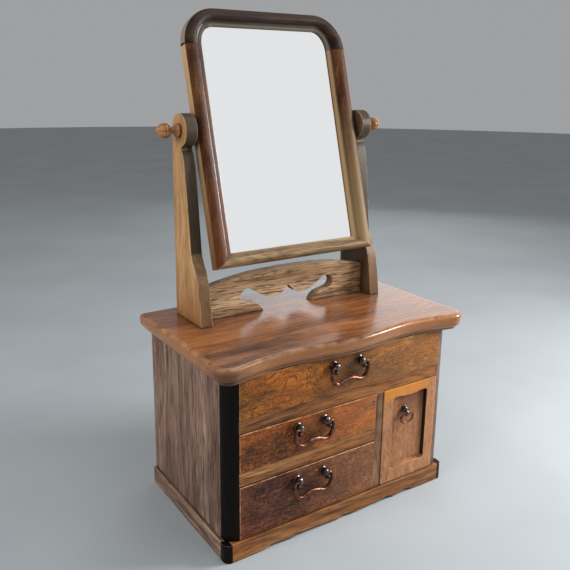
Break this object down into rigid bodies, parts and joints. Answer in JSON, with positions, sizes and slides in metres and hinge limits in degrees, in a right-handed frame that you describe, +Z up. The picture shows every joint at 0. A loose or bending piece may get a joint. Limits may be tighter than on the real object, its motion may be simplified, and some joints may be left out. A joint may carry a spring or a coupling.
{
  "type": "dressing chest with mirror",
  "caption": "Low table-top wooden chest with drawers and a serpentine top, bail pulls, and a tilting framed mirror held between uprights.",
  "frame": {"origin": "middle of the whole object's footprint, on the surface that the plinth stands on", "axes": "+X to the right as seen from the front, +Y from the front to the back, +Z up"},
  "size_m": [0.44, 0.2688, 0.7488],
  "materials": {
    "top_wood": "reddish brown, worn gloss lacquer",
    "side_wood": "greyed brown, straight upright grain, dull",
    "post_wood": "near-black lacquer, satin",
    "rail_wood": "tan brown, satin",
    "burl_wood": "mottled orange-brown figure, satin lacquer",
    "field_wood": "tan brown, carved, satin",
    "stand_wood": "light tan, open grain",
    "stretcher_wood": "pale tan, coarse darker grain",
    "mirror_wood": "dark reddish brown with worn edges",
    "inner_wood": "plain unfinished softwood",
    "bronze": "dark patinated bronze",
    "copper": "brownish copper, handled bright",
    "knob_wood": "turned and polished, copper-brown",
    "mirror_glass": "silvered plate glass"
  },
  "bodies": {
    "root": {"back_panel": "inner_wood", "bottom_board": "inner_wood", "corner_post_left": "post_wood", "corner_post_right": "post_wood", "divider": "rail_wood", "middle_rail": "rail_wood", "middle_shelf": "inner_wood", "plinth_back": "side_wood", "plinth_block_left": "post_wood", "plinth_block_right": "post_wood", "plinth_front": "rail_wood", "plinth_side_left": "side_wood", "plinth_side_right": "side_wood", "side_panel_left": "side_wood", "side_panel_right": "side_wood", "stretcher": "stretcher_wood", "top_board": "top_wood", "upper_rail": "rail_wood", "upper_shelf": "inner_wood", "upright_left": "stand_wood", "upright_right": "stand_wood"},
    "drawer_top": {"boss_top_left": "bronze", "boss_top_right": "bronze", "drawer_back_top": "inner_wood", "drawer_bottom_top": "inner_wood", "drawer_front_top": "burl_wood", "drawer_side_top_left": "inner_wood", "drawer_side_top_right": "inner_wood"},
    "drawer_middle": {"boss_middle_left": "bronze", "boss_middle_right": "bronze", "drawer_back_middle": "inner_wood", "drawer_bottom_middle": "inner_wood", "drawer_front_middle": "burl_wood", "drawer_side_middle_left": "inner_wood", "drawer_side_middle_right": "inner_wood"},
    "drawer_lower": {"boss_lower_left": "bronze", "boss_lower_right": "bronze", "drawer_back_lower": "inner_wood", "drawer_bottom_lower": "inner_wood", "drawer_front_lower": "burl_wood", "drawer_side_lower_left": "inner_wood", "drawer_side_lower_right": "inner_wood"},
    "drawer_tall": {"boss_tall": "bronze", "drawer_back_tall": "inner_wood", "drawer_bottom_tall": "inner_wood", "drawer_front_tall": "field_wood", "drawer_side_tall_left": "inner_wood", "drawer_side_tall_right": "inner_wood"},
    "top_bail": {"bail_top": "copper"},
    "middle_bail": {"bail_middle": "copper"},
    "lower_bail": {"bail_lower": "copper"},
    "ring": {"ring_tall": "copper"},
    "mirror": {"mirror_back": "inner_wood", "mirror_bottom_rail": "mirror_wood", "mirror_glass": "mirror_glass", "mirror_stile_left": "mirror_wood", "mirror_stile_right": "mirror_wood", "mirror_top_rail": "mirror_wood"},
    "knob_left": {"knob_left": "knob_wood"},
    "knob_right": {"knob_right": "knob_wood"}
  },
  "joints": [
    {"name": "top_drawer_slide", "type": "slide", "parent": "root", "child": "drawer_top", "axis": [0, -1, 0], "range_m": [0, 0.17]},
    {"name": "middle_drawer_slide", "type": "slide", "parent": "root", "child": "drawer_middle", "axis": [0, -1, 0], "range_m": [0, 0.17]},
    {"name": "lower_drawer_slide", "type": "slide", "parent": "root", "child": "drawer_lower", "axis": [0, -1, 0], "range_m": [0, 0.17]},
    {"name": "tall_drawer_slide", "type": "slide", "parent": "root", "child": "drawer_tall", "axis": [0, -1, 0], "range_m": [0, 0.17]},
    {"name": "top_bail_hinge", "type": "hinge", "parent": "drawer_top", "child": "top_bail", "pos_m": [-0.0045, -0.124, 0.2541], "axis": [-1, 0, 0], "range_deg": [0, 90]},
    {"name": "middle_bail_hinge", "type": "hinge", "parent": "drawer_middle", "child": "middle_bail", "pos_m": [-0.0655, -0.124, 0.1756], "axis": [-1, 0, 0], "range_deg": [0, 90]},
    {"name": "lower_bail_hinge", "type": "hinge", "parent": "drawer_lower", "child": "lower_bail", "pos_m": [-0.0655, -0.124, 0.0931], "axis": [-1, 0, 0], "range_deg": [0, 90]},
    {"name": "ring_hinge", "type": "hinge", "parent": "drawer_tall", "child": "ring", "pos_m": [0.121, -0.1155, 0.1415], "axis": [-1, 0, 0], "range_deg": [0, 90]},
    {"name": "mirror_tilt", "type": "hinge", "parent": "root", "child": "mirror", "pos_m": [0, 0.0785, 0.576], "axis": [1, 0, 0], "range_deg": [-45, 30]},
    {"name": "left_knob_turn", "type": "hinge", "parent": "root", "child": "knob_left", "pos_m": [-0.1692, 0.0785, 0.576], "axis": [1, 0, 0], "range_deg": [-180, 180]},
    {"name": "right_knob_turn", "type": "hinge", "parent": "root", "child": "knob_right", "pos_m": [0.1692, 0.0785, 0.576], "axis": [1, 0, 0], "range_deg": [-180, 180]}
  ]
}
